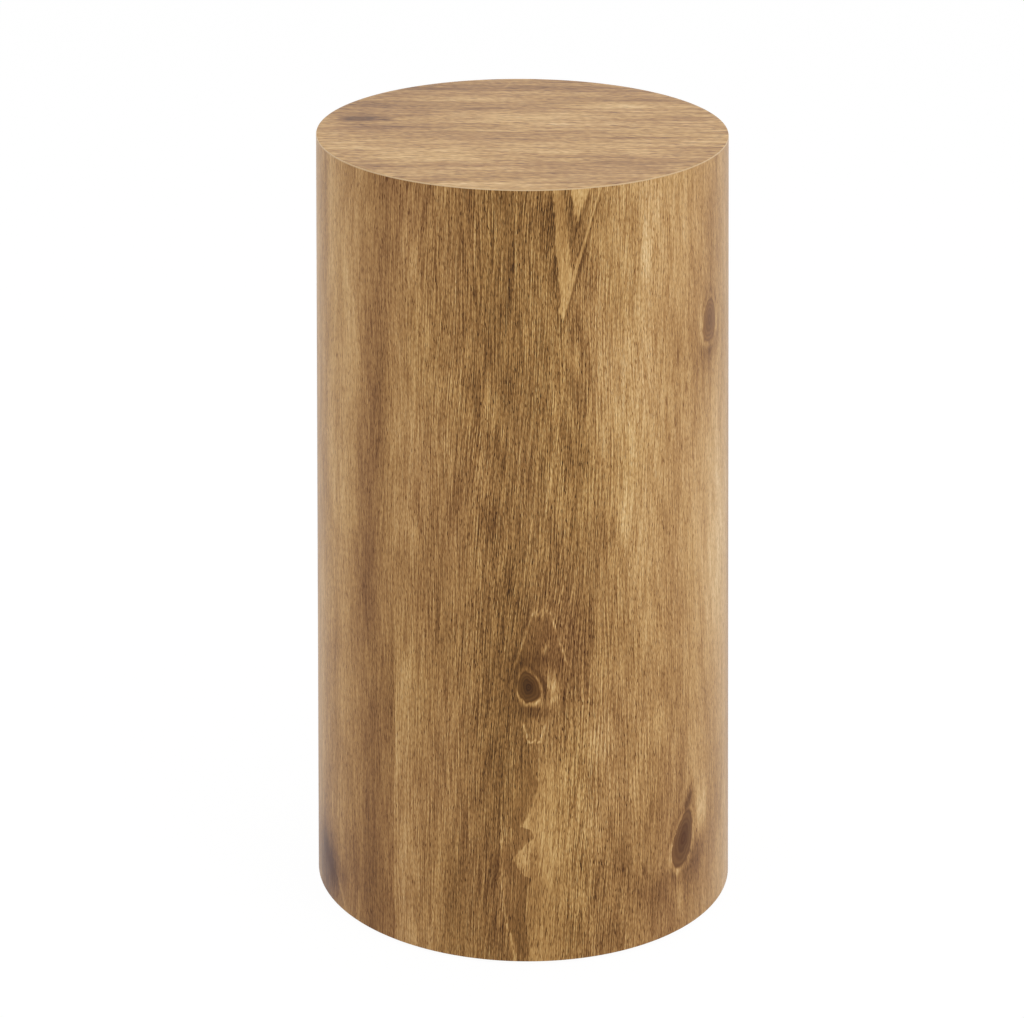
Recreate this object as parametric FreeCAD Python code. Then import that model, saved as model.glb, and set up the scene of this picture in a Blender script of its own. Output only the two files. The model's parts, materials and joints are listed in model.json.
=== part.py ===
import FreeCAD, Part
import math
import os

from FreeCAD import Placement, Rotation, Vector

# Round drum side table: fibreboard, saw-kerfed and bent round four formers, faced with laminate.
# Millimetres. The drum's axis is Z, the floor is Z = 0, and the seams are at the back, towards +Y.

# Overall sizes
drum_diameter = 305.0            # over the side laminate
table_height = 553.0             # floor to tabletop
floor_gap = 2.5                  # floor to the drum's lower edge

# Laminate sheets
top_laminate_thickness = 0.8
side_laminate_thickness = 0.6
laminate_seam_gap = 0.3

# Kerf-bent shell
shell_thickness = 8.0
shell_seam_gap = 0.5
kerf_count = 72
kerf_width = 2.2                 # as sawn in the flat board
kerf_web = 1.5                   # board left behind each saw cut

# Round formers: two closed panels and two open ribs
top_panel_thickness = 18.0
base_panel_thickness = 15.0
rib_thickness = 15.0
rib_width = 50.0                 # from the rib's rim to its bore
rib_height_shares = {"rib_lower": 1 / 3, "rib_upper": 2 / 3}    # of the way from base to top
former_clearance = 0.1           # glue line between a rim and the shell

# Softwood posts, let into the ribs' bores
post_width = 28.0
post_inset = 31.0                # from the former's rim to the post's outer face
post_arris = 2.0
post_clearance = 0.1
post_turn_shares = {"post_rear_right": 1 / 8, "post_rear_left": 3 / 8,
                    "post_front_left": 5 / 8, "post_front_right": 7 / 8}    # of a turn from +X

# Battens behind the shell's butt joint
batten_width = 60.0
batten_thickness = 12.0
batten_end_gap = 0.3

# Glides, each moulded round the foot of a flat steel prong
glide_diameter = 25.0
glide_height = 5.0
glide_bevel = 1.5                # round the sole
glide_inset = 12.0               # from the former's rim to the glide's edge
glide_turn_shares = {"glide_right": 0, "glide_rear": 1 / 4, "glide_left": 2 / 4, "glide_front": 3 / 4}
prong_width = 4.0
prong_thickness = 1.6
prong_length = 15.0
prong_foot = 3.0                 # inside the glide
prong_point = 4.0

# Brads: flat wire with a chisel point
brad_width = 1.8
brad_thickness = 1.2
brad_point = 2.0
brad_set = 0.3                   # punched this far below the face
shell_brad_length = 25.0
seam_brad_length = 16.0
post_brad_length = 45.0          # through a panel into a post, or through a post into a rib
post_brad_gap = 12.0             # between the two brads in each post's end
brads_per_rim = 6
seam_brad_rows = 2               # up each batten
seam_brad_tooth = 1              # teeth counted from the seam to each line of brads

overrun = 1.0                    # past a face, on every cut

# Sizes that follow
up = Vector(0, 0, 1)
down = Vector(0, 0, -1)
drum_radius = drum_diameter / 2
shell_radius = drum_radius - side_laminate_thickness
shell_bore_radius = shell_radius - shell_thickness
former_radius = shell_bore_radius - former_clearance
drum_top = table_height - top_laminate_thickness
drum_height = drum_top - floor_gap
base_bottom = glide_height
base_top = base_bottom + base_panel_thickness
panel_bottom = drum_top - top_panel_thickness
post_length = panel_bottom - base_top
post_radius = former_radius - post_inset - post_width / 2
post_inner_face = post_radius - post_width / 2
glide_radius = former_radius - glide_inset - glide_diameter / 2
tooth_angle = 360 / kerf_count
post_angles = {name: 360 * share for name, share in post_turn_shares.items()}
glide_angles = {name: 360 * share for name, share in glide_turn_shares.items()}
rib_bottoms = {name: base_top + share * post_length - rib_thickness / 2
               for name, share in rib_height_shares.items()}


def turned(outline):
    """A solid of revolution about Z, from an outline of (radius, height) points."""
    points = [Vector(radius, 0, height) for radius, height in outline]
    face = Part.Face(Part.makePolygon(points + points[:1]))
    return face.revolve(Vector(), up, 360)


def cut_from_sheet(outline, thickness):
    """An outline of (x, z) points, extruded to both sides of the XZ plane."""
    points = [Vector(x, -thickness / 2, z) for x, z in outline]
    return Part.Face(Part.makePolygon(points + points[:1])).extrude(Vector(0, thickness, 0))


def disc(radius, height, bottom):
    return Part.makeCylinder(radius, height, Vector(0, 0, bottom))


def block(length, width, height, near_face, bottom):
    """A block centred on the XZ plane, its near face at this X."""
    return Part.makeBox(length, width, height, Vector(near_face, -width / 2, bottom))


def turn(shape, angle):
    """A copy of the shape, turned about the drum's axis."""
    copy = shape.copy()
    copy.rotate(Vector(), up, angle)
    return copy


def outward(angle):
    return Vector(math.cos(math.radians(angle)), math.sin(math.radians(angle)), 0)


def at(angle, radius, height):
    return outward(angle) * radius + up * height


def driven(shape, place, direction):
    """A copy of a shape that points down from the origin, set with its head at a place."""
    copy = shape.copy()
    copy.Placement = Placement(place, Rotation(down, direction))
    return copy


def without(shape, tools):
    return shape.cut(tools).removeSplitter()


# Brads and prongs point down from the origin. A brad's seat is the hole that it fills.
def flat_wire(width, thickness, point, length, head_top):
    half = width / 2
    right = [(half, head_top), (half, point - length)]
    return cut_from_sheet(right + [(0, -length)] + [(-x, z) for x, z in reversed(right)], thickness)


def brad(length):
    return flat_wire(brad_width, brad_thickness, brad_point, length, 0)


def brad_seat(length):
    return flat_wire(brad_width, brad_thickness, brad_point, length, brad_set + overrun)


def prong():
    return flat_wire(prong_width, prong_thickness, prong_point, prong_length, 0)


# Where the brads and prongs go, as (head's place, direction)
def post_end_places(height, direction):
    """Two in each post, side by side along the radius."""
    radii = [post_radius - post_brad_gap / 2, post_radius + post_brad_gap / 2]
    return [(at(angle, radius, height), direction) for angle in post_angles.values() for radius in radii]


def base_brad_places():
    return post_end_places(base_bottom + brad_set, up)


def top_brad_places():
    return post_end_places(drum_top - brad_set, down)


def rib_brad_places():
    heights = [bottom + rib_thickness / 2 for bottom in rib_bottoms.values()]
    return [(at(angle, post_inner_face + brad_set, height), outward(angle))
            for height in heights for angle in post_angles.values()]


def shell_brad_place(tooth, height):
    """Tooth 0 is split by the seam, at the back."""
    angle = 90 + tooth * tooth_angle
    return at(angle, shell_radius - brad_set, height), -outward(angle)


def shell_brad_places():
    rim_heights = [base_bottom + base_panel_thickness / 2, drum_top - top_panel_thickness / 2]
    rim_heights += [bottom + rib_thickness / 2 for bottom in rib_bottoms.values()]
    teeth = [round((step + 0.5) * kerf_count / brads_per_rim) for step in range(brads_per_rim)]
    return [shell_brad_place(tooth, height) for height in rim_heights for tooth in teeth]


def seam_brad_places():
    places = []
    for bottom, top in batten_spans().values():
        for row in range(seam_brad_rows):
            height = bottom + (row + 0.5) * (top - bottom) / seam_brad_rows
            places += [shell_brad_place(tooth, height) for tooth in (-seam_brad_tooth, seam_brad_tooth)]
    return places


def prong_places():
    return [(at(angle, glide_radius, glide_height - prong_foot), up) for angle in glide_angles.values()]


def set_all(shape, places):
    return [driven(shape, place, direction) for place, direction in places]


# Laminate
def top_laminate():
    return disc(drum_radius, top_laminate_thickness, drum_top)


def seam_slot(gap, radius):
    """A cut through the wall at the back, over the drum's whole height."""
    return Part.makeBox(gap, radius, drum_height + 2 * overrun, Vector(-gap / 2, 0, floor_gap - overrun))


def side_laminate():
    wrap = disc(drum_radius, drum_height, floor_gap).cut(disc(shell_radius, drum_height, floor_gap))
    return wrap.cut(seam_slot(laminate_seam_gap, drum_radius + overrun))


# Shell: the saw cuts leave square teeth, which fan in together as the board bends,
# so each cut closes a little towards its mouth.
def kerfed_bore():
    web_radius = shell_radius - kerf_web
    pitch = math.pi * (shell_radius + web_radius) / kerf_count
    half_tooth = (pitch - kerf_width) / 2
    root = math.sqrt(web_radius ** 2 - half_tooth ** 2)
    tooth = [Vector(root, -half_tooth, 0), Vector(shell_bore_radius, -half_tooth, 0),
             Vector(shell_bore_radius, half_tooth, 0), Vector(root, half_tooth, 0)]
    points = []
    for number in range(kerf_count):
        turning = Rotation(up, 90 + number * tooth_angle)
        points += [turning.multVec(corner) for corner in tooth]
    return Part.makePolygon(points + points[:1])


def drum_shell():
    outside = Part.Wire(Part.makeCircle(shell_radius))
    section = Part.makeFace([outside, kerfed_bore()], "Part::FaceMakerBullseye")
    section.translate(up * floor_gap)
    tube = section.extrude(up * drum_height)
    holes = set_all(brad_seat(shell_brad_length), shell_brad_places())
    holes += set_all(brad_seat(seam_brad_length), seam_brad_places())
    return tube.cut([seam_slot(shell_seam_gap, drum_radius)] + holes)


# Formers
def top_panel():
    holes = set_all(brad_seat(post_brad_length), top_brad_places())
    holes += set_all(brad_seat(shell_brad_length), shell_brad_places())
    return without(disc(former_radius, top_panel_thickness, panel_bottom), holes)


def base_panel():
    holes = set_all(brad_seat(post_brad_length), base_brad_places())
    holes += set_all(brad_seat(shell_brad_length), shell_brad_places())
    holes += set_all(prong(), prong_places())
    return without(disc(former_radius, base_panel_thickness, base_bottom), holes)


def rib(bottom):
    bore = disc(former_radius - rib_width, rib_thickness, bottom)
    notch_depth = post_inner_face + post_width + post_clearance
    notch = block(notch_depth, post_width + 2 * post_clearance, rib_thickness, 0, bottom)
    cuts = [bore] + [turn(notch, angle) for angle in post_angles.values()]
    cuts += set_all(brad_seat(post_brad_length), rib_brad_places())
    cuts += set_all(brad_seat(shell_brad_length), shell_brad_places())
    return without(disc(former_radius, rib_thickness, bottom), cuts)


# Posts and battens
def post(angle):
    square = block(post_width, post_width, post_length, post_inner_face, base_top)
    upright = [edge for edge in square.Edges if abs(edge.tangentAt(edge.FirstParameter).z) > 0.5]
    eased = turn(square.makeChamfer(post_arris, upright), angle)
    places = base_brad_places() + rib_brad_places() + top_brad_places()
    return without(eased, set_all(brad_seat(post_brad_length), places))


def batten_spans():
    """Bottom and top of each batten, between one former and the next."""
    rib_lower = rib_bottoms["rib_lower"]
    rib_upper = rib_bottoms["rib_upper"]
    spans = {"seam_batten_lower": (base_top, rib_lower),
             "seam_batten_middle": (rib_lower + rib_thickness, rib_upper),
             "seam_batten_upper": (rib_upper + rib_thickness, panel_bottom)}
    return {name: (bottom + batten_end_gap, top - batten_end_gap) for name, (bottom, top) in spans.items()}


def seam_batten(bottom, top):
    """A strip with its outer face rounded to the shell."""
    strip = block(batten_thickness, batten_width, top - bottom, former_radius - batten_thickness, bottom)
    rounded = turn(strip, 90).common(disc(former_radius, top - bottom, bottom))
    return without(rounded, set_all(brad_seat(seam_brad_length), seam_brad_places()))


# Glides
def glide(angle):
    """A button with a bevelled sole, moulded round the foot of its prong."""
    radius = glide_diameter / 2
    button = turned([(0, 0), (radius - glide_bevel, 0), (radius, glide_bevel), (radius, glide_height),
                     (0, glide_height)])
    button.translate(at(angle, glide_radius, 0))
    return button.cut(set_all(prong(), prong_places()))


def write(name, *solids):
    """One file for each node. A group of like brads or prongs stays separate solids."""
    shape = solids[0] if len(solids) == 1 else Part.makeCompound(solids)
    shape.exportStep(f"parts/{name}.step")


os.makedirs("parts", exist_ok=True)
write("top_laminate", top_laminate())
write("side_laminate", side_laminate())
write("drum_shell", drum_shell())
write("top_panel", top_panel())
write("base_panel", base_panel())
for name, bottom in rib_bottoms.items():
    write(name, rib(bottom))
for name, angle in post_angles.items():
    write(name, post(angle))
for name, (bottom, top) in batten_spans().items():
    write(name, seam_batten(bottom, top))
for name, angle in glide_angles.items():
    write(name, glide(angle))
write("base_brads", *set_all(brad(post_brad_length), base_brad_places()))
write("top_brads", *set_all(brad(post_brad_length), top_brad_places()))
write("rib_brads", *set_all(brad(post_brad_length), rib_brad_places()))
write("shell_brads", *set_all(brad(shell_brad_length), shell_brad_places()))
write("seam_brads", *set_all(brad(seam_brad_length), seam_brad_places()))
write("glide_prongs", *set_all(prong(), prong_places()))
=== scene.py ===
import json
import math

import bmesh
import bpy
from mathutils import Matrix, Vector


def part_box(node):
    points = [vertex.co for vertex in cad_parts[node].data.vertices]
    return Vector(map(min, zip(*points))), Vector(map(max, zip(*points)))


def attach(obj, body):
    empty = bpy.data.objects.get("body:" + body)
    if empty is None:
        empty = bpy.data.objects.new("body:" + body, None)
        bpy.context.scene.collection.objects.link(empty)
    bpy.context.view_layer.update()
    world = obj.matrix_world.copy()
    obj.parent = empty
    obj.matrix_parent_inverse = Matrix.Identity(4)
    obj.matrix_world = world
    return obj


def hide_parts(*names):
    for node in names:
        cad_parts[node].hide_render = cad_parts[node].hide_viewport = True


# Looks of the round drum side table: printed wood-grain laminate on a bent fibreboard drum.
# Metres, in the frame's axes. The front is -Y, and the laminate's seam is at the back, towards +Y.
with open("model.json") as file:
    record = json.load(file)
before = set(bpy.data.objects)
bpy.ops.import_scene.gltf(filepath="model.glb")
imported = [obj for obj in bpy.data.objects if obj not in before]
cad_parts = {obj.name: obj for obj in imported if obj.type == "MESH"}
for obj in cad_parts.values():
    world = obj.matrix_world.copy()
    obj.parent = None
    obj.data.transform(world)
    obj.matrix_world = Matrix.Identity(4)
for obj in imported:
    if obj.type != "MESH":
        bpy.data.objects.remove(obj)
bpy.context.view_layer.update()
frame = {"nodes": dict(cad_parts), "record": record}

# Sizes from the frame
MM = 0.001
side_low, side_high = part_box("side_laminate")
top_low, top_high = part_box("top_laminate")
drum_radius = side_high.x
drum_bottom = side_low.z
drum_height = side_high.z - side_low.z
side_thickness = drum_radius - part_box("drum_shell")[1].x

# Sizes of the finished sheets
seam_gap = 0.3 * MM
rim_bevel = 0.3 * MM
rim_bevel_steps = 3
top_rings = (0.98, 0.75, 0.5, 0.25, 0)      # where the rings of the top's faces lie, in shares of its radius
steps_round = 288
steps_up = 24
wrap_weld = 0.01 * MM
disc_weld = 0.001 * MM
sharp_edge = math.radians(40)

full_tone = 255
bell_fall = math.exp(-1)                    # what a bell falls to at one half size from its middle
seed_shift = (17.3, -9.7)                   # how far each seed moves the noise, across and along


class Value:
    """A socket whose arithmetic adds Math nodes to its material."""

    def __init__(self, finish, socket):
        self.finish = finish
        self.socket = socket

    def __add__(self, other):
        return self.finish.math("ADD", self, other)

    def __sub__(self, other):
        return self.finish.math("SUBTRACT", self, other)

    def __rsub__(self, other):
        return self.finish.math("SUBTRACT", other, self)

    def __mul__(self, other):
        return self.finish.math("MULTIPLY", self, other)

    def __truediv__(self, other):
        return self.finish.math("DIVIDE", self, other)

    def __rtruediv__(self, other):
        return self.finish.math("DIVIDE", other, self)

    def __abs__(self):
        return self.finish.math("ABSOLUTE", self)

    __radd__ = __add__
    __rmul__ = __mul__


class Finish:
    """A node tree under construction: a material's, or the world's."""

    def __init__(self, owner):
        self.owner = owner
        owner.use_nodes = True
        self.tree = owner.node_tree
        self.tree.nodes.clear()

    def node(self, kind, settings=None, sockets=None, out=0):
        """Adds a node: its settings first, then its sockets' values or links. Gives one output."""
        node = self.tree.nodes.new("ShaderNode" + kind)
        for name, value in (settings or {}).items():
            if name == "stops":
                self.set_stops(node.color_ramp, value)
            else:
                setattr(node, name, value)
        for key, value in (sockets or {}).items():
            if isinstance(value, Value):
                self.tree.links.new(value.socket, node.inputs[key])
            else:
                node.inputs[key].default_value = value
        return Value(self, node.outputs[out]) if node.outputs else None

    @staticmethod
    def set_stops(ramp, stops):
        while len(ramp.elements) < len(stops):
            ramp.elements.new(1.0)
        for element, (place, colour) in zip(ramp.elements, stops):
            element.position = place
            element.color = colour

    def math(self, operation, *values):
        return self.node("Math", {"operation": operation}, dict(enumerate(values)))

    def step(self, value, low, high):
        """Goes smoothly from 0 to 1 as the value goes from low to high."""
        settings = {"interpolation_type": "SMOOTHSTEP"}
        return self.node("MapRange", settings, {0: value, 1: low, 2: high})

    def bell(self, value):
        """1 where the value is 0, falling off smoothly as it grows."""
        return self.math("POWER", bell_fall, value * value)

    def local(self, across, along, middle, half, lean=0.0):
        """A place seen from a middle point, turned, and measured in half sizes."""
        sine, cosine = math.sin(lean), math.cos(lean)
        seen = []
        for share_across, share_along, size in ((cosine, sine, half[0]), (-sine, cosine, half[1])):
            value = -(middle[0] * share_across + middle[1] * share_along) / size
            for place, share in ((across, share_across), (along, share_along)):
                if share:
                    value = self.math("MULTIPLY_ADD", place, share / size, value)
            seen.append(value)
        return seen

    def patches(self, across, along, ovals):
        """The lifts of soft ovals (across, along, half width, half height, lean, lift), added up."""
        total = 0.0
        for *middle, half_width, half_height, lean, lift in ovals:
            u, v = self.local(across, along, middle, (half_width, half_height), lean)
            fall = self.math("POWER", bell_fall, self.math("MULTIPLY_ADD", u, u, v * v))
            total = self.math("MULTIPLY_ADD", fall, lift, total)
        return total

    def parts(self, vector):
        return [self.node("SeparateXYZ", None, {0: vector}, out=axis) for axis in range(3)]

    def mix(self, share, first, second):
        return self.node("Mix", {"data_type": "RGBA"}, {0: share, 6: first, 7: second}, out=2)

    def ramp(self, value, stops):
        return self.node("ValToRGB", {"stops": stops}, {0: value})

    def place(self):
        """Object coordinates X, Y and Z, in metres."""
        return self.parts(self.node("TexCoord", out=3))

    def streaks(self, across, along, width, length, seed, detail=1.0, stagger=0.0):
        """Noise about zero, drawn out along the grain. A stagger keeps marks from lining up in rows."""
        u = across * (1 / width) + seed_shift[0] * seed
        v = along * (1 / length) + seed_shift[1] * seed
        if stagger:
            v = self.math("MULTIPLY_ADD", u, stagger, v)
        spot = self.node("CombineXYZ", None, {0: u, 1: v})
        sockets = {"Vector": spot, "Scale": 1.0, "Detail": detail}
        return self.node("TexNoise", {"noise_dimensions": "2D"}, sockets) - 0.5

    def surface(self, shader):
        self.node("OutputMaterial", None, {0: shader})
        return self.owner


def new_finish(name):
    return Finish(bpy.data.materials.new(name))


def paint(red, green, blue):
    """A screen's colour, from 0 to 255, as the linear one that a shader takes, by sRGB's curve."""
    def linear(level):
        share = level / full_tone
        return share / 12.92 if share <= 0.04045 else ((share + 0.055) / 1.055) ** 2.4
    return linear(red), linear(green), linear(blue), 1.0


# Printed grain in millimetres, with painted sheen and painted shade on the side. On the side, s runs round
# the drum to the right from the middle of its front, and h up from the drum's lower edge. A lift is in steps
# of tone, of which black to white is 255.
side_tone = 133
# Soft upright bands as (s, half width, lift); those at s -207 and 209 are painted sheen at the outline
side_bands_and_edge_sheen = [
    (-168, 34, 15), (-112, 14, -10), (-146, 16, 6), (152, 14, 2), (-18, 46, -20), (95, 38, 20),
    (168, 34, 22), (209, 16, 25), (-207, 14, 20), (-300, 50, 8), (-250, 22, -12), (260, 25, -14),
    (330, 60, 8), (410, 30, -10), (-400, 40, -12)]
# Soft ovals as (s, h, half width, half height, lean, lift). The broad dark ones at h 20 to 60 darken the
# foot all across: partly the print's own dark patches, partly painted shade near the floor
side_patches_and_foot_shade = [
    (-110, 475, 14, 60, 0, -8), (-88, 545, 16, 30, 0, -12), (-108, 350, 12, 36, 0, -8),
    (-118, 300, 5, 36, 0, -8), (-127, 250, 13, 34, 0, -8), (-150, 350, 12, 100, 0, 14),
    (-80, 330, 18, 110, 0, 12), (-108, 120, 14, 80, 0, 8), (66, 395, 16, 60, 0, 12),
    (48, 347, 3.5, 11, 0, -26), (48, 235, 24, 46, 0, -16), (30, 222, 24, 22, 0, -10),
    (3, 226, 18, 26, 0, -16), (-8, 160, 12, 60, 0, -14), (128, 250, 14, 70, 0, -4),
    (153, 290, 12, 60, 0, 14), (178, 270, 34, 90, 0, 16), (100, 45, 40, 60, 0, -24),
    (-188, 20, 40, 30, 0, -48), (-130, 60, 22, 80, 0, -14), (164, 490, 26, 60, 0, -11),
    (150, 425, 34, 30, 0, -16), (150, 40, 34, 46, 0, -14), (105, 500, 40, 70, 0, 12),
    (90, 290, 14, 80, 0, 12), (-30, 495, 14, 40, 0, 10), (38, 500, 9, 24, 0, -8),
    (20, 25, 34, 30, 0, -10), (-142, 465, 16, 50, 0, 14), (90, 490, 14, 50, 0, 15),
    (90, 545, 12, 14, 0, 14), (112, 388, 12, 24, 0, 8), (-112, 200, 14, 40, 0, 13),
    (-90, 230, 10, 28, 0, 12), (150, 265, 14, 40, 0, 12), (133, 210, 12, 40, 0, 9),
    (170, 360, 14, 56, 0, 10), (78, 400, 12, 44, 0, 9), (88, 310, 14, 50, 0, 7),
    (-70, 400, 12, 90, 0, 8), (-30, 440, 14, 60, 0, 9), (22, 535, 34, 24, 0, -12),
    (105, 105, 16, 34, 0, -11), (-160, 90, 24, 30, 0, -8), (-30, 60, 12, 45, 0, -13),
    (8, 28, 26, 20, 0, -8), (0, 290, 40, 36, 0, -8), (-172, 26, 28, 22, 0, -14),
    (-150, 460, 12, 60, 0, 9), (170, 450, 12, 24, 0, 10), (32, 530, 14, 26, 0, -13),
    (33, 208, 14, 22, 0, -12), (42, 362, 16, 14, 0, -11), (60, 45, 60, 30, 0, -7),
    (-70, 45, 30, 40, 0, -8), (-138, 40, 22, 34, 0, -14), (10, 58, 14, 20, 0, -10),
    (50, 70, 14, 28, 0, -12), (30, 530, 16, 22, 0, -8), (5, 445, 22, 26, 0, 9), (30, 440, 12, 22, 0, 9),
    (108, 120, 14, 50, 0, -8), (170, 440, 14, 20, 0, 8), (170, 330, 12, 20, 0, 8),
    (130, 545, 14, 18, 0, 9), (-150, 115, 14, 34, 0, -12), (190, 106, 12, 24, 0, -12),
    (-91, 480, 9, 70, 0, -7), (45, 505, 16, 44, 0, -9), (10, 58, 12, 16, 0, -8),
    (110, 178, 12, 38, 0, -9), (-170, 60, 14, 20, 0, -8), (52, 118, 14, 20, 0, -11),
    (109, 92, 12, 18, 0, -9), (-70, 118, 10, 20, 0, -10), (60, 302, 18, 20, 0, -10),
    (-90, 32, 14, 18, 0, -10), (-10, 60, 8, 16, 0, -9), (30, 62, 9, 14, 0, -8), (150, 88, 8, 12, 0, -6),
    (146, 430, 9, 120, 0, -8), (-16, 485, 12, 60, 0, -6), (-79, 250, 10, 80, 0, 6),
    (-46, 236, 10, 40, 0, -6), (-46, 86, 10, 28, 0, 7), (-184, 36, 16, 26, 0, -12),
    (-151, 50, 12, 26, 0, -7), (-151, 114, 12, 40, 0, -6), (13, 245, 12, 34, 0, -6)]
# Small marks in the same way
side_marks = [
    (187, 69, 6, 16, -0.1, -24), (111, 66, 2.5, 22, -0.25, 18), (152, 79, 8, 18, -0.15, 42),
    (126, 22, 5, 14, 0.1, 24), (136, 90, 3.6, 10, -0.35, -54), (148, 47, 8, 20, -0.45, -36),
    (116, 56, 4.5, 13, -0.3, 32), (124, 43, 2.5, 6, 0.3, 34), (105, 35, 14, 13, 0, -22),
    (74, 58, 1.3, 3, 0, -44), (92, 53, 1.6, 4, 0, -48), (152, 432, 4, 14, 0, 44),
    (180, 434, 3, 14, 0, 26), (160, 405, 10, 9, 0.5, -14), (166, 412, 2, 8, 0, -16),
    (21, 198, 4, 8, 0.1, 50), (16, 224, 1.6, 5, -0.4, 54), (12.5, 186, 3, 3.5, 0.3, 36),
    (21, 187, 4, 2.5, 0.6, 34), (14.5, 197, 2.5, 9, 0.1, -46), (5, 216, 15, 5, 0, -17),
    (8, 178, 12, 4, 0, -38), (-161, 15, 2.0, 16, 0.6, 28), (-185, 300, 2, 260, 0, -9),
    (-178, 26, 8, 20, 0.8, -34), (-133, 470, 1, 2, 0, -45), (-84, 527, 1, 2, 0, -45),
    (-66, 456, 1, 2, 0, -40), (-104, 548, 1, 2, 0, -40), (-86, 546, 1, 2, 0, -40),
    (-164, 406, 1, 2, 0, -40), (-155, 384, 1, 2, 0, -40), (-34, 475, 1.3, 3, 0, -40),
    (-21, 499, 1.3, 3, 0, -40), (-7, 495, 1.3, 3, 0, -40), (134, 392, 1.5, 4, 0, -36),
    (-114, 290, 1, 2, 0, -45), (-150, 235, 1, 2, 0, -45), (-81, 139, 1, 3, 0, -45),
    (-151, 109, 1, 2, 0, -40), (-159, 69, 1, 2, 0, -40), (-82, 46, 1, 2, 0, -40),
    (260, 330, 1, 2, 0, -40), (-290, 410, 1, 3, 0, -40), (350, 220, 1, 2, 0, -40),
    (-380, 160, 1, 2, 0, -40), (430, 90, 1, 2, 0, -40), (118, 402, 1, 4, 0, -42),
    (126, 396, 1, 4, 0, -42), (112, 388, 1, 4, 0, -38), (130, 380, 1, 5, 0, -42),
    (121, 372, 1, 4, 0, -42), (115, 360, 1, 4, 0, -38), (128, 352, 1, 4, 0, -42),
    (108, 346, 1, 4, 0, -38), (124, 418, 1, 5, 0, -38), (135, 408, 1, 4, 0, -42)]
# Knots as (s, h, half width, half height, lean, tone of the heart, tone of the ring, lift of the rim)
side_knots = [
    (4, 197, 7.5, 11.5, 0.25, 44, 70, 40), (130.5, 65, 10.5, 20, -0.3, 56, 84, 14),
    (166, 433, 10.5, 16.5, -0.05, 92, 106, 10), (-270, 300, 9, 14, -0.1, 76, 98, 20),
    (340, 420, 11, 18, 0.2, 74, 98, 22), (-420, 120, 8, 10, 0, 80, 100, 18),
    (430, 260, 7, 11, -0.2, 84, 104, 16)]
# Left edge of the lower flame, as (h, s)
flame_edge = [
    (0, 3), (8, 3.7), (34, 2.2), (52, 2.5), (59, 6), (62, 0.5), (66, -3), (74, -7), (82, 0), (89, 7.5),
    (94.5, 5.5), (96.5, -1), (110, 5.5), (127, 11), (150, 11)]
golden_stops = [(40, (58, 37, 18)), (70, (97, 65, 31)), (99, (131, 92, 49)), (123, (158, 116, 66)),
                (153, (191, 148, 90)), (185, (220, 183, 122)), (215, (240, 212, 160))]
rosy_stops = [(40, (82, 38, 9)), (70, (104, 67, 37)), (99, (135, 94, 57)), (123, (161, 118, 72)),
              (153, (191, 148, 95)), (185, (219, 181, 128)), (215, (239, 211, 166))]

# Layers of the side's grain, from broad to fine. A noise is (width, length, seed, detail, stagger), and a
# weight is that of plain grain, then what an area of ribs or speckles adds to it.
broad_noise = (26, 210, 1, 3.0)
broad_weight = (76, -26)
narrow_noise = (7, 60, 2)
narrow_weight = (30, -16)
short_noise = (2.2, 12, 12, 0.0, 0.41)
short_weight = (22, -17)
wide_rib_noise = (2.7, 300, 6)
wide_rib_weight = (4, 16)
thin_rib_noise = (1.8, 200, 40)
thin_rib_weight = (6, 15)
line_noise = (0.5, 32, 5, 0.0, 0.37)
line_weight = (18, 46)
dot_noise = (0.48, 3, 7, 0.0, 0.43)
dot_weight = (18, 16)
pore_noise = (0.55, 5, 8, 0.0, 0.38)
pore_weight = (42, 26)
# Noise from which a mark sets in, to that at which it is full
line_range = (-0.22, 0.22)
dot_range = (-0.25, 0.25)
pore_range = (0.18, 0.27)
rib_fade_noise = (6, 110)
rib_fade_range = (-0.18, 0.1)
rib_half_width = 0.06
rib_shadow_place = 0.12
rib_shadow_share = 0.8
ribbed_middle, ribbed_half_width = -15, 55
speckled_middle, speckled_half_width = 10, 105
speckled_least = 0.15
ragged_noise = (2.2, 8, 11)
calm_share = 0.75
arch_calm_share = 0.5
knot_calm_fall = 0.2

# Course of the grain: two wobbles, the lean of the middle, the parting above the middle knot and the way
# round each knot
slow_wobble = (60, 200, 3)
slow_wobble_reach = 11
quick_wobble = (12, 110, 4)
quick_wobble_reach = 1.1
lean_slope, lean_at_foot = 0.055, 17.0
lean_middle, lean_half_width = 5, 80
parting_heights = (430, 200)
parting_middle, parting_half_width = 4, 38
parting_reach = 20
detour_reach = 0.8
detour_fall = 0.4

# Knots, measured in their half sizes
knot_taper = 0.25
knot_raggedness = 0.24
knot_rings, knot_ring_shift, knot_ring_lift = 26, 2, 7
knot_heart_range = (0.1, 0.8)
knot_edge_range = (0.92, 1.06)
knot_outline_place, knot_outline_sharpness, knot_outline_depth = 1.4, 4, 16
knot_rim_place, knot_rim_sharpness = 1.1, 9
knot_lit_below, knot_lit_lean = (0.2, 0.9), -0.5
knot_lit_aside, knot_lit_narrowing = (0.4, 0.8), 0.4

# Tongues that hang from the top, as (s and h of the tip, steepness)
pale_tongue = (27, 449), 5.6
dark_tongue = (35, 486), 4.4
small_tongue = (38, 523), 3.4
tongue_lean = 0.12
tongue_raggedness = (2, 14)                 # aside and upwards
tongue_edge = 6
tongue_line_place, tongue_line_half_width = 5, 5
dark_fade_heights, dark_fade_share = (505, 535), 0.4
pale_lift, dark_depth, small_lift, tongue_line_depth = 44, 48, 42, 22

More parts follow.
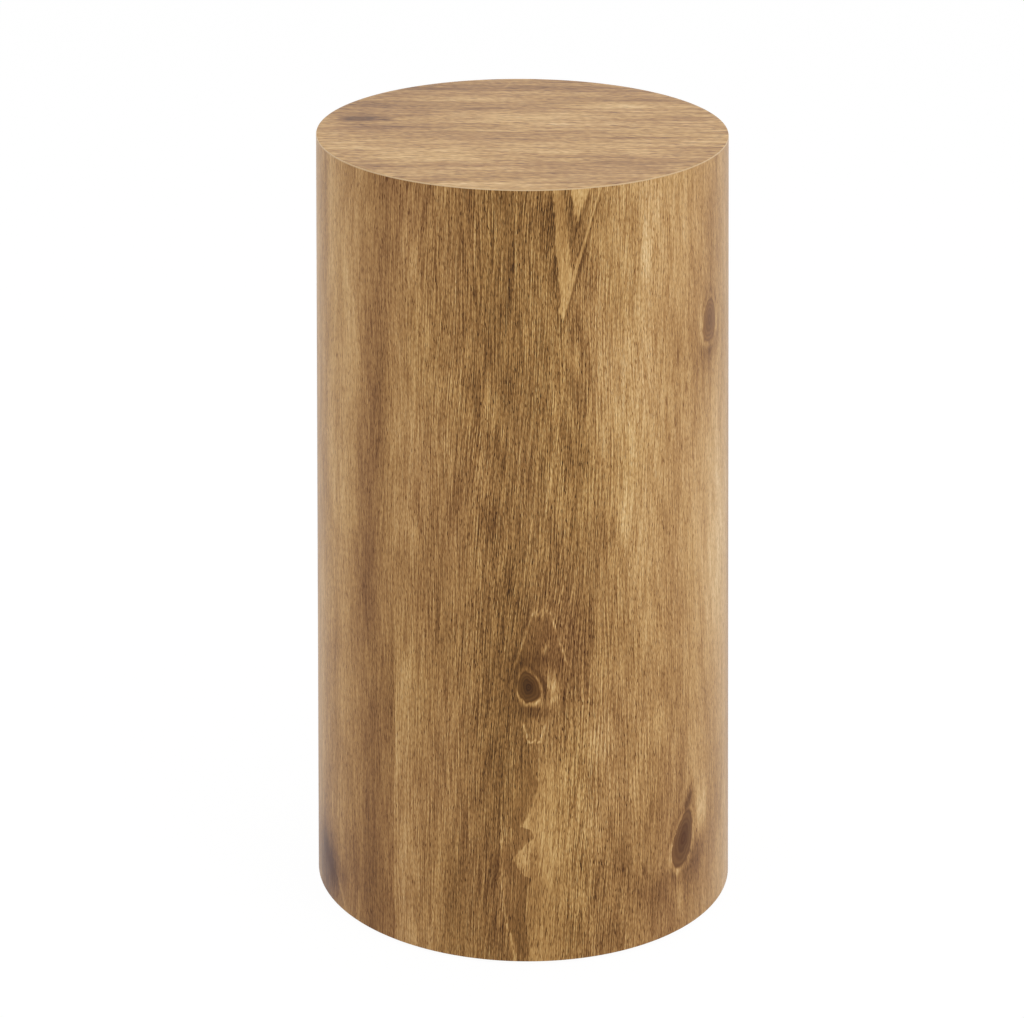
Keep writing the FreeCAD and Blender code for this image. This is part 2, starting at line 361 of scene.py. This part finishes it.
# Pale lines round the middle knot: an arch with its crown above it, and a point with its foot below it
arch_middle, arch_height, arch_slope, arch_half_width = 13, 215, 0.328, 17.5
arch_line_half_width = 0.75
arch_start, arch_end = (207, 217), (252, 247)
arch_inside_start, arch_inside_end = (205, 216), (252, 246)
arch_inside_edge = (0.0, -2.0)
crown_height, crown_half_height, crown_raggedness = 249.5, 1.7, 9
crown_middle, crown_ends = 14.5, (9.5, 6)
crown_share = 0.7
point_middle, point_height, point_slope, point_half_width = 8, 157.6, 0.33, 4
point_start, point_end = (155.5, 157.5), (174, 169)
foot_height, foot_half_height, foot_raggedness = 157.5, 0.9, 5
foot_ends = (5, 3.4)
arch_raggedness = 2.4
arch_lift, arch_inside_depth = 44, 5

# Pale flame at the foot, with a dark shade to its left and a pale line further left
flame_height = 160
flame_edge_low, flame_edge_span = -10, 20
flame_raggedness = 3.5
flame_end = (128, 165)
flame_left, flame_right = (-0.6, 0.8), (14, 42)
flame_shade_place, flame_shade_half_width, flame_shade_edge = 6, 7, (-1.0, 0.5)
flame_line_place, flame_line_half_width, flame_line_end = 15, 1.1, (95, 118)
flame_line_bend, flame_line_bend_height, flame_line_raggedness = 9, 28, 4
flame_pore_noise = (0.9, 9, 14, 0.0)
flame_pore_slant, flame_pore_range = 0.16, (0.14, 0.26)
flame_lift, flame_shade_depth, flame_line_lift, flame_pore_depth = 31, 14, 48, 36

# Crisp edge up the left
plank_place, plank_half_width = 98.5, 30
plank_wobble, plank_wobble_reach = (20, 90, 15), 2.5
plank_crispness = (-0.5, 0.5)
plank_end = (190, 250)
plank_lift = 34

# Rosier tint: all but the middle of the front, and round the middle knot
golden_middle, golden_half_width = 8, 85
tint_noise, tint_weight = (40, 120, 16), 0.9
rosy_knot_place, rosy_knot_half_size, rosy_knot_share = (18, 215), (34, 55), 0.5


def wood_colours(finish, tone, rosy):
    """Colour of the print for a tone, with a share of the rosier tint."""
    share = tone * (1 / full_tone)
    tints = []
    for stops in (golden_stops, rosy_stops):
        tints.append(finish.ramp(share, [(place / full_tone, paint(*colour)) for place, colour in stops]))
    return finish.mix(rosy, *tints)


def weighed(area, plain, more):
    """Weight of a layer of grain: the plain one, and more by the share of an area."""
    return area * more + plain


def ribs(finish, across, along, width, length, seed):
    """Thin pale lines along the grain, each with a dark line beside it, that fade in and out."""
    place = finish.streaks(across, along, width, length, seed, 0.0)
    fade = finish.step(finish.streaks(across, along, *rib_fade_noise, seed + 1), *rib_fade_range)
    pale = finish.bell(place * (1 / rib_half_width))
    dark = finish.bell((place - rib_shadow_place) * (1 / rib_half_width)) * rib_shadow_share
    return (pale - dark) * fade


def fine_grain(finish, across, straight, along, ribbed, speckled):
    """Streaks, ribs, lines, dots and pores of the print, from broad to fine, as a lift of tone."""
    tone = finish.streaks(across, along, *broad_noise) * weighed(ribbed, *broad_weight)
    tone = tone + finish.streaks(across, along, *narrow_noise) * weighed(ribbed, *narrow_weight)
    tone = tone + finish.streaks(straight, along, *short_noise) * weighed(speckled, *short_weight)
    tone = tone + ribs(finish, across, along, *wide_rib_noise) * weighed(ribbed, *wide_rib_weight)
    tone = tone + ribs(finish, across, along, *thin_rib_noise) * weighed(ribbed, *thin_rib_weight)
    lines = finish.step(finish.streaks(straight, along, *line_noise), *line_range) - 0.5
    tone = tone + lines * weighed(speckled, *line_weight)
    dots = finish.step(finish.streaks(straight, along, *dot_noise), *dot_range) - 0.5
    tone = tone + dots * weighed(speckled, *dot_weight)
    pores = finish.step(finish.streaks(straight, along, *pore_noise), *pore_range)
    return tone - pores * weighed(speckled, *pore_weight)


def followed_grain(finish, s, h, knots):
    """Place across the grain, whose lines lean, part above the middle knot and go round the knots.

    Also the place without the parting and the knots."""
    wobble = finish.streaks(s, h, *slow_wobble) * slow_wobble_reach
    wobble = wobble + finish.streaks(s, h, *quick_wobble) * quick_wobble_reach
    lean = (h * lean_slope - lean_at_foot) * finish.bell((s - lean_middle) * (1 / lean_half_width))
    straight = s + wobble - lean
    parting = finish.step(h, *parting_heights)
    parting = parting * finish.bell((s - parting_middle) * (1 / parting_half_width)) * parting_reach
    grain = straight + parting
    for knot, (u, v) in zip(side_knots, knots):
        detour = finish.bell(v * detour_fall) * u * (detour_reach * knot[2])
        grain = grain - detour / (u * u + 1.0)
    return grain, straight


def knot_tone(finish, tone, knot, u, v, ragged):
    """A dark heart with fine rings, in a dark outline, with a thin pale rim at its sides and lower left."""
    heart_tone, ring_tone, rim_lift = knot[5:]
    narrowed = u * (v * knot_taper + 1)
    reach = finish.math("SQRT", narrowed * narrowed + v * v) + ragged * knot_raggedness
    rings = finish.math("SINE", reach * knot_rings + u * knot_ring_shift) * knot_ring_lift
    shade = rings + finish.step(reach, *knot_heart_range) * (ring_tone - heart_tone) + heart_tone
    inside = 1 - finish.step(reach, *knot_edge_range)
    outline = finish.bell((reach - knot_outline_place) * knot_outline_sharpness) * knot_outline_depth
    lit = finish.step(u * knot_lit_lean - v, *knot_lit_below)
    lit = lit + finish.step(u - abs(v) * knot_lit_narrowing, *knot_lit_aside)
    rim = finish.bell((reach - knot_rim_place) * knot_rim_sharpness) * lit * rim_lift
    return tone + inside * (shade - tone) + rim - outline


def tongue(finish, s, h, tip, steepness, ragged):
    """1 inside a pointed tongue that opens upwards from its tip, and 1 on the line round it."""
    aside = abs(s - (h - tip[1]) * tongue_lean - tip[0] + ragged * tongue_raggedness[0])
    depth = h - aside * steepness - tip[1] + ragged * tongue_raggedness[1]
    line = finish.bell((depth + tongue_line_place) * (1 / tongue_line_half_width))
    return finish.step(depth, 0, tongue_edge), line


def upper_flame(finish, s, h, ragged):
    """Nested tongues that hang from the top: pale, dark and pale again, with dark outlines.

    Also where the fine grain is calm."""
    pale, outline = tongue(finish, s, h, *pale_tongue, ragged)
    dark, _ = tongue(finish, s, h, *dark_tongue, ragged)
    small, edge = tongue(finish, s, h, *small_tongue, ragged)
    arms = dark * (1 - finish.step(h, *dark_fade_heights) * dark_fade_share)
    lift = pale * pale_lift - outline * tongue_line_depth - arms * dark_depth
    return lift + small * small_lift - edge * dark * tongue_line_depth, pale - dark + small


def knot_arch(finish, s, h, ragged):
    """Thin pale lines: two that meet under a mottled crown above the middle knot, and two below it.

    Also where the fine grain is calm."""
    shaken = s + ragged * arch_raggedness
    legs = abs(shaken - arch_middle) + (h - arch_height) * arch_slope - arch_half_width
    lines = finish.bell(legs * (1 / arch_line_half_width))
    lines = lines * finish.step(h, *arch_start) * finish.step(h, *arch_end)
    crown = finish.bell((h - crown_height + ragged * crown_raggedness) * (1 / crown_half_height))
    crown = crown * finish.step(abs(s - crown_middle), *crown_ends)
    point = abs(shaken - point_middle) - (h - point_height) * point_slope - point_half_width
    lower = finish.bell(point * (1 / arch_line_half_width))
    lines = lines + lower * finish.step(h, *point_end) * finish.step(h, *point_start)
    foot = finish.bell((h - foot_height + ragged * foot_raggedness) * (1 / foot_half_height))
    foot = foot * finish.step(abs(s - point_middle), *foot_ends)
    inside = finish.step(legs, *arch_inside_edge)
    inside = inside * finish.step(h, *arch_inside_start) * finish.step(h, *arch_inside_end)
    return (lines + crown * crown_share + foot) * arch_lift - inside * arch_inside_depth, inside


def lower_flame(finish, s, h, ragged):
    """A pale flame with a ragged left edge, rising from the foot, and a pale line beside it.

    Also where the fine grain is calm."""
    stops = []
    for height, place in flame_edge:
        level = (place - flame_edge_low) / flame_edge_span
        stops.append((height / flame_height, (level, level, level, 1)))
    edge = finish.ramp(h * (1 / flame_height), stops)
    edge = s - edge * flame_edge_span - flame_edge_low + ragged * flame_raggedness
    low = 1 - finish.step(h, *flame_end)
    body = finish.step(edge, *flame_left) * (1 - finish.step(s, *flame_right)) * low
    shade = finish.bell((edge + flame_shade_place) * (1 / flame_shade_half_width))
    shade = shade * (1 - finish.step(edge, *flame_shade_edge)) * low
    bend = finish.bell(h * (1 / flame_line_bend_height)) * flame_line_bend
    line = s + flame_line_place - bend + ragged * flame_line_raggedness
    line = finish.bell(line * (1 / flame_line_half_width)) * (1 - finish.step(h, *flame_line_end))
    slanting = finish.streaks(s - h * flame_pore_slant, h, *flame_pore_noise)
    pores = finish.step(slanting, *flame_pore_range) * body
    lift = body * flame_lift - shade * flame_shade_depth + line * flame_line_lift
    return lift - pores * flame_pore_depth, body + shade


def plank_edge(finish, s, h):
    """A crisp edge up the left, pale to its right, which fades out upwards."""
    wobble = finish.streaks(s, h, *plank_wobble) * plank_wobble_reach
    edge = finish.step(s + wobble + plank_place, *plank_crispness)
    near = finish.bell((s + plank_place) * (1 / plank_half_width)) * (1 - finish.step(h, *plank_end))
    return near * (edge * plank_lift - plank_lift / 2)


def laminate(finish, colour, across, along):
    """Satin laminate: the print under a clear face, lightly pressed with the grain."""
    press = finish.streaks(across, along, *press_noise)
    sockets = {"Strength": press_strength, "Distance": press_depth, "Height": press}
    bump = finish.node("Bump", None, sockets)
    sockets = {"Base Color": colour, "Roughness": press * press_dulling + laminate_roughness,
               "Specular IOR Level": laminate_gloss, "Normal": bump}
    return finish.surface(finish.node("BsdfPrincipled", None, sockets))


def side_grain_and_painted_light():
    finish = new_finish("side_print_and_painted_light")
    x, y, z = finish.place()
    s = finish.math("ARCTAN2", x, y * -1) * (drum_radius / MM)
    h = (z - drum_bottom) * (1 / MM)
    # Ovals of the print, and low down some painted shade near the floor
    placed = finish.patches(s, h, side_patches_and_foot_shade + side_marks)
    # Bands of the print's tone, and at the drum's outline a painted sheen
    for middle, half, lift in side_bands_and_edge_sheen:
        placed = placed + finish.bell((s - middle) * (1 / half)) * lift
    knots = [finish.local(s, h, knot[:2], knot[2:4], knot[4]) for knot in side_knots]
    grain, straight = followed_grain(finish, s, h, knots)
    ribbed = finish.bell((s - ribbed_middle) * (1 / ribbed_half_width))
    speckled = finish.bell((s - speckled_middle) * (1 / speckled_half_width)) + speckled_least
    ragged = finish.streaks(grain, h, *ragged_noise)
    upper, upper_calm = upper_flame(finish, s, h, ragged)
    lower, lower_calm = lower_flame(finish, s, h, ragged)
    arch, arch_calm = knot_arch(finish, s, h, ragged)
    u, v = knots[0]
    knot_calm = finish.math("POWER", bell_fall, (u * u + v * v) * knot_calm_fall)
    calm = upper_calm + lower_calm + arch_calm * arch_calm_share + knot_calm
    lively = 1 - finish.math("MINIMUM", calm, 1.0) * calm_share
    tone = fine_grain(finish, grain, straight, h, ribbed * lively, speckled * lively) + placed + side_tone
    tone = tone + upper + lower + arch + plank_edge(finish, s, h)
    for knot, (u, v) in zip(side_knots, knots):
        tone = knot_tone(finish, tone, knot, u, v, ragged)
    rosy = 1 - finish.bell((s - golden_middle) * (1 / golden_half_width))
    rosy = rosy + finish.streaks(s, h, *tint_noise) * tint_weight
    knot_tint = finish.bell((s - rosy_knot_place[0]) * (1 / rosy_knot_half_size[0]))
    knot_tint = knot_tint * finish.bell((h - rosy_knot_place[1]) * (1 / rosy_knot_half_size[1]))
    rosy = rosy + knot_tint * rosy_knot_share
    return laminate(finish, wood_colours(finish, tone, rosy), s, h)


# Printed grain of the top, in millimetres from its middle, x to the right and y to the rear
top_tone = 153
# Soft ovals as (x, y, half width, half height, lean, lift)
top_patches = [
    (-129, 32, 9, 7, 0, -66), (-114, 32, 10, 7, 0, -66), (-101, 32, 5, 5, 0, -40),
    (-118, 21, 14, 3, 0, 18), (0, -3, 150, 9, 0, -9), (0, -92, 130, 12, 0, -7),
    (-86, -76, 30, 11, 0, 9), (20, -38, 36, 13, 0, 9), (30, 31, 36, 10, 0, 10),
    (0, 130, 120, 26, 0, -8), (-11, 133, 1.5, 13, -0.3, 20), (-36, 60, 7, 3, 0, -14),
    (-36, -90, 7, 3, 0, -18), (97, -95, 6, 3, 0, -14), (48, 146, 24, 2.5, 0, -16),
    (-70, 85, 40, 10, 0, -6), (70, 75, 50, 12, 0, 3), (-105, 40, 40, 40, 0, -18),
    (0, 122, 130, 20, 0, -14), (80, -92, 50, 34, 0, -10), (-45, 62, 50, 13, 0, -16),
    (-115, 0, 36, 15, 0, -14), (60, -15, 70, 12, 0, -7), (-30, -50, 70, 14, 0, 15),
    (20, 32, 80, 14, 0, 9), (-70, 122, 30, 12, 0, -12), (30, 124, 50, 10, 0, -10),
    (110, 88, 26, 16, 0, -12), (-20, 60, 36, 9, 0, -10), (-95, 6, 40, 10, 0, -9),
    (90, -2, 26, 9, 0, 12), (85, -80, 40, 20, 0, -7), (-112, 75, 20, 16, 0, -12),
    (20, 102, 60, 9, 0, -10), (-36, 80, 20, 8, 0, -9), (85, -20, 34, 9, 0, -13), (85, 42, 18, 9, 0, 10),
    (-85, -62, 26, 10, 0, 9), (-15, -38, 44, 9, 0, 8), (-110, 105, 20, 9, 0, -8),
    (112, -20, 16, 9, 0, -10), (85, 100, 30, 9, 0, -8), (-50, -38, 22, 9, 0, 8),
    (90, -100, 18, 9, 0, -8)]

# Layers of the top's grain, as on the side
top_wobble, top_wobble_reach = (50, 200, 31), 5
top_broad_noise, top_broad_weight = (18, 130, 32, 1.0), 62
top_narrow_noise, top_narrow_weight = (6, 130, 33, 0.0), 34
top_line_noise, top_line_weight = (1.9, 34, 34, 0.0, 0.37), 28
top_dot_noise, top_dot_weight = (1.3, 5, 37, 0.0, 0.43), 26
top_dash_noise, top_dash_weight = (1.4, 11, 35, 0.0, 0.38), 44
top_dash_range = (0.17, 0.27)
top_tint_noise, top_tint_weight, top_rosy_share = (30, 90, 36), 0.8, 0.7
cut_edge_colour = (214, 184, 144)
cut_edge_start = 0.45 * MM                  # in from the rim, as is the next
cut_edge_full = 0.2 * MM
laminate_roughness = 0.36
laminate_gloss = 0.13
press_noise = (1.2, 14, 21)
press_strength = 0.3
press_depth = 0.05 * MM
press_dulling = 0.12


def top_grain():
    finish = new_finish("top_print")
    x, y = finish.place()[:2]
    across, along = y * (1 / MM), x * (1 / MM)
    placed = finish.patches(along, across, top_patches)
    grain = across + finish.streaks(across, along, *top_wobble) * top_wobble_reach
    tone = finish.streaks(grain, along, *top_broad_noise) * top_broad_weight + placed + top_tone
    tone = tone + finish.streaks(grain, along, *top_narrow_noise) * top_narrow_weight
    lines = finish.step(finish.streaks(grain, along, *top_line_noise), *line_range) - 0.5
    tone = tone + lines * top_line_weight
    dots = finish.step(finish.streaks(grain, along, *top_dot_noise), *dot_range) - 0.5
    tone = tone + dots * top_dot_weight
    dashes = finish.step(finish.streaks(grain, along, *top_dash_noise), *top_dash_range)
    tone = tone - dashes * top_dash_weight
    rosy = finish.streaks(grain, along, *top_tint_noise) * top_tint_weight + top_rosy_share
    colour = wood_colours(finish, tone, rosy)
    radius = finish.math("SQRT", x * x + y * y)
    cut_edge = finish.step(radius, drum_radius - cut_edge_start, drum_radius - cut_edge_full)
    colour = finish.mix(cut_edge, colour, paint(*cut_edge_colour))
    return laminate(finish, colour, grain, along)


# Finishes of the frame inside
dent_strength = 0.4
dent_dulling = 0.3
pine_ring_course = (0.8, 0.6)               # of the rings' lines, in shares of X and Y
pine_ring_turn = 1.6                        # per millimetre
pine_ring_bend = 22


def speckle(finish, size, detail=3.0, stretch=(1, 1, 1)):
    """Noise about zero in object coordinates, with features of a size in metres, drawn out by a stretch."""
    place = finish.node("TexCoord", out=3)
    spot = finish.node("Mapping", None, {"Vector": place, "Scale": stretch})
    return finish.node("TexNoise", None, {"Vector": spot, "Scale": 1 / size, "Detail": detail}) - 0.5


def plain_stuff(name, stops, tone, roughness, dent, metallic=0.0):
    """A stuff whose colour, gloss and face all follow one tone about zero."""
    finish, value = tone(name)
    colour = finish.ramp(value + 0.5, [(place, paint(*shade)) for place, shade in stops])
    bump = finish.node("Bump", None, {"Strength": dent_strength, "Distance": dent, "Height": value})
    sockets = {"Base Color": colour, "Roughness": value * dent_dulling + roughness,
               "Metallic": metallic, "Normal": bump}
    return finish.surface(finish.node("BsdfPrincipled", None, sockets))


def fibre_tone(name):
    finish = new_finish(name)
    return finish, speckle(finish, 0.5 * MM) + speckle(finish, 9 * MM) * 0.5


def pine_tone(name):
    finish = new_finish(name)
    bend = speckle(finish, 40 * MM, 2.0, (1, 1, 0.15))
    x, y = finish.place()[:2]
    depth = (x * pine_ring_course[0] + y * pine_ring_course[1]) * (1 / MM)
    rings = finish.math("SINE", depth * pine_ring_turn + bend * pine_ring_bend)
    return finish, rings * 0.22 + speckle(finish, 1.2 * MM, 2.0, (1, 1, 0.04)) * 0.7


def moulded_tone(name):
    finish = new_finish(name)
    return finish, speckle(finish, 0.8 * MM, 2.0) + speckle(finish, 6 * MM) * 0.4


def zinc_tone(name):
    finish = new_finish(name)
    return finish, speckle(finish, 1.5 * MM, 4.0) + speckle(finish, 0.3 * MM, 2.0, (1, 1, 0.2)) * 0.6


def inner_finishes():
    fibre = [(0.25, (136, 104, 70)), (0.5, (164, 130, 92)), (0.75, (188, 154, 114))]
    pine = [(0.2, (196, 152, 96)), (0.5, (222, 186, 132)), (0.8, (236, 208, 160))]
    nylon = [(0.3, (206, 202, 190)), (0.7, (224, 220, 209))]
    zinc = [(0.3, (160, 160, 156)), (0.7, (202, 202, 196))]
    return {"fibreboard": plain_stuff("bare_fibreboard", fibre, fibre_tone, 0.85, 0.15 * MM),
            "softwood": plain_stuff("planed_softwood", pine, pine_tone, 0.62, 0.12 * MM),
            "nylon": plain_stuff("moulded_nylon", nylon, moulded_tone, 0.42, 0.03 * MM),
            "steel": plain_stuff("zinc_plate", zinc, zinc_tone, 0.34, 0.02 * MM, 1.0)}


# Pieces
def wrap_tree(material):
    """A flat sheet, bent round the drum into an open ring and given its thickness."""
    tree = bpy.data.node_groups.new("laminate wrap", "GeometryNodeTree")
    for name in ("Radius", "Thickness", "Bottom", "Height", "Seam Gap"):
        tree.interface.new_socket(name, in_out="INPUT", socket_type="NodeSocketFloat")
    for name in ("Steps Round", "Steps Up"):
        tree.interface.new_socket(name, in_out="INPUT", socket_type="NodeSocketInt")
    tree.interface.new_socket("Sheet", in_out="OUTPUT", socket_type="NodeSocketGeometry")

    def add(kind, sockets, out=0):
        node = tree.nodes.new(kind)
        for key, value in sockets.items():
            if isinstance(value, bpy.types.NodeSocket):
                tree.links.new(value, node.inputs[key])
            else:
                node.inputs[key].default_value = value
        return node.outputs[out] if node.outputs else None

    def math_node(operation, *values):
        output = add("ShaderNodeMath", dict(enumerate(values)))
        output.node.operation = operation
        return output

    size = tree.nodes.new("NodeGroupInput").outputs
    inner = math_node("SUBTRACT", size["Radius"], size["Thickness"])
    girth = math_node("MULTIPLY_ADD", inner, math.tau, math_node("MULTIPLY", size["Seam Gap"], -1.0))
    flat = add("GeometryNodeMeshGrid", {
        "Size X": girth, "Size Y": size["Height"],
        "Vertices X": math_node("ADD", size["Steps Round"], 1),
        "Vertices Y": math_node("ADD", size["Steps Up"], 1)})
    spot = tree.nodes.new("GeometryNodeInputPosition").outputs[0]
    along = add("ShaderNodeSeparateXYZ", {0: spot}, out=0)
    upward = add("ShaderNodeSeparateXYZ", {0: spot}, out=1)
    turn = math_node("DIVIDE", along, inner)
    middle = math_node("MULTIPLY_ADD", size["Height"], 0.5, size["Bottom"])
    bent_spot = add("ShaderNodeCombineXYZ", {
        0: math_node("MULTIPLY", math_node("SINE", turn), inner),
        1: math_node("MULTIPLY", math_node("COSINE", turn), math_node("MULTIPLY", inner, -1.0)),
        2: math_node("ADD", upward, middle)})
    bent = add("GeometryNodeSetPosition", {"Geometry": flat, "Position": bent_spot})
    outer = add("GeometryNodeExtrudeMesh", {
        "Mesh": bent, "Offset Scale": size["Thickness"], "Individual": False})
    join = tree.nodes.new("GeometryNodeJoinGeometry")
    tree.links.new(outer, join.inputs[0])
    tree.links.new(add("GeometryNodeFlipFaces", {0: bent}), join.inputs[0])
    merged = add("GeometryNodeMergeByDistance", {"Geometry": join.outputs[0], "Distance": wrap_weld})
    real = add("GeometryNodeRealizeInstances", {0: merged})
    add("NodeGroupOutput", {0: add("GeometryNodeSetMaterial", {"Geometry": real, "Material": material})})
    return tree


def grown(name, tree, sizes):
    """The plain mesh piece that a geometry tree makes with these sizes."""
    piece = bpy.data.objects.new(name, bpy.data.meshes.new(name))
    bpy.context.scene.collection.objects.link(piece)
    modifier = piece.modifiers.new("shape", "NODES")
    modifier.node_group = tree
    for item in tree.interface.items_tree:
        if item.name in sizes:
            modifier[item.identifier] = sizes[item.name]
    graph = bpy.context.evaluated_depsgraph_get()
    mesh = bpy.data.meshes.new_from_object(piece.evaluated_get(graph))
    piece.modifiers.clear()
    piece.data = mesh
    return piece


def soften(mesh):
    mesh.shade_smooth()
    mesh.set_sharp_from_angle(angle=sharp_edge)


def side_wrap(material):
    sizes = {"Radius": drum_radius, "Thickness": side_thickness, "Bottom": drum_bottom,
             "Height": drum_height, "Seam Gap": seam_gap, "Steps Round": steps_round, "Steps Up": steps_up}
    piece = grown("side_wrap", wrap_tree(material), sizes)
    soften(piece.data)
    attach(piece, "root")
    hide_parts("side_laminate")


def top_sheet(material):
    """A turned disc with its upper edge eased."""
    outline = [(0, top_low.z), (drum_radius, top_low.z)]
    for number in range(rim_bevel_steps + 1):
        turn = number / rim_bevel_steps * math.pi / 2
        inward = rim_bevel * (1 - math.cos(turn))
        downward = rim_bevel * (1 - math.sin(turn))
        outline.append((drum_radius - inward, top_high.z - downward))
    outline += [(drum_radius * share, top_high.z) for share in top_rings]
    build = bmesh.new()
    points = [build.verts.new((radius, 0, height)) for radius, height in outline]
    edges = [build.edges.new(pair) for pair in zip(points, points[1:])]
    bmesh.ops.spin(build, geom=points + edges, cent=(0, 0, 0), axis=(0, 0, 1), angle=math.tau,
                   steps=steps_round, use_merge=True)
    bmesh.ops.remove_doubles(build, verts=build.verts, dist=disc_weld)
    bmesh.ops.recalc_face_normals(build, faces=build.faces)
    mesh = bpy.data.meshes.new("top_sheet")
    build.to_mesh(mesh)
    build.free()
    mesh.materials.append(material)
    soften(mesh)
    piece = bpy.data.objects.new("top_sheet", mesh)
    bpy.context.scene.collection.objects.link(piece)
    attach(piece, "root")
    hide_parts("top_laminate")


# Stage
def seen_directly(finish):
    """1 for what the camera sees, straight or in a reflection or through glass."""
    kinds = ("Is Camera Ray", "Is Glossy Ray", "Is Transmission Ray")
    straight, reflected, through = [finish.node("LightPath", out=kind) for kind in kinds]
    return finish.math("MAXIMUM", finish.math("MAXIMUM", straight, reflected), through)


def studio_world():
    world = bpy.data.worlds.new("studio")
    finish = Finish(world)
    light = finish.node("Background", None, {0: plain_white, 1: ambient_level})
    white = finish.node("Background", None, {0: plain_white, 1: 1.0})
    shader = finish.node("MixShader", None, {0: seen_directly(finish), 1: light, 2: white})
    finish.node("OutputWorld", None, {0: shader})
    bpy.context.scene.world = world


def studio_floor():
    finish = new_finish("studio_floor")
    pale = finish.node("BsdfDiffuse", None, {0: (floor_level, floor_level, floor_level, 1)})
    white = finish.node("Emission", None, {0: plain_white, 1: floor_glow})
    share = seen_directly(finish) * floor_white_share
    material = finish.surface(finish.node("MixShader", None, {0: share, 1: pale, 2: white}))
    build = bmesh.new()
    bmesh.ops.create_grid(build, x_segments=1, y_segments=1, size=floor_reach)
    mesh = bpy.data.meshes.new("studio_floor")
    build.to_mesh(mesh)
    build.free()
    mesh.materials.append(material)
    floor = bpy.data.objects.new("studio_floor", mesh)
    bpy.context.scene.collection.objects.link(floor)


def lamp(name, place, size, watts):
    data = bpy.data.lights.new(name, "AREA")
    data.shape = "DISK"
    data.size = size
    data.energy = watts
    light = bpy.data.objects.new(name, data)
    light.location = place
    light.visible_glossy = False
    aim = Vector((0, 0, drum_height / 2)) - Vector(place)
    light.rotation_euler = aim.to_track_quat("-Z", "Y").to_euler()
    bpy.context.scene.collection.objects.link(light)


plain_white = (1, 1, 1, 1)
ambient_level = 0.55
floor_level = 0.8
floor_white_share = 0.94
floor_glow = 1.03
floor_reach = 30.0
lamps = {"key": ((1.9, -1.9, 1.5), 1.8, 26.0),
         "fill": ((-2.2, -1.6, 1.3), 2.2, 15.0),
         "overhead": ((0.2, 0.3, 2.4), 1.6, 10.0)}

# Camera. Its distances and directions are fitted to the drum's outline in the photograph, which keeps
# upright lines parallel: the picture plane stands nearly upright while the drum is seen from above.
picture_width = 1024
picture_height = 1018
focal_pixels = 3677.05
principal_pixel = (422.95, -699.83)         # where the picture plane's normal meets the picture
camera_distance = 2.6942
camera_height = 1.28526
plane_pitch = 0.04314
plane_roll = -0.00251
plane_yaw = 0.02667
sensor_width = 36.0


def photo_camera():
    normal = Vector((-math.sin(plane_yaw), math.cos(plane_yaw), 0))
    across = Vector((math.cos(plane_yaw), math.sin(plane_yaw), 0))
    upward = Vector((0, 0, 1))
    forward = normal * math.cos(plane_pitch) - upward * math.sin(plane_pitch)
    upward = upward * math.cos(plane_pitch) + normal * math.sin(plane_pitch)
    right = across * math.cos(plane_roll) + upward * math.sin(plane_roll)
    upward = upward * math.cos(plane_roll) - across * math.sin(plane_roll)
    aside = (picture_width / 2 - principal_pixel[0]) / focal_pixels
    below = (picture_height / 2 - principal_pixel[1]) / focal_pixels
    aim = forward + right * aside - upward * below
    columns = [right, upward, -aim.normalized(), Vector((0, -camera_distance, camera_height))]
    stand = Matrix.Identity(4)
    for number, column in enumerate(columns):
        for row in range(3):
            stand[row][number] = column[row]
    data = bpy.data.cameras.new("camera")
    data.sensor_width = sensor_width
    data.lens = focal_pixels * aim.length / picture_width * sensor_width
    camera = bpy.data.objects.new("camera", data)
    tripod = bpy.data.objects.new("tripod", None)
    camera.parent = tripod
    camera.matrix_parent_inverse = stand
    for thing in (tripod, camera):
        bpy.context.scene.collection.objects.link(thing)
    bpy.context.scene.camera = camera


side_wrap(side_grain_and_painted_light())
top_sheet(top_grain())
finishes = inner_finishes()
slots = {row["node"]: row["material_slot"] for row in frame["record"]["subparts"]}
for node, piece in frame["nodes"].items():
    for slot in piece.material_slots:
        slot.material = finishes.get(slots[node], slot.material)
studio_world()
studio_floor()
for name, (place, size, watts) in lamps.items():
    lamp(name, place, size, watts)
photo_camera()
bpy.context.scene.view_settings.view_transform = "Standard"
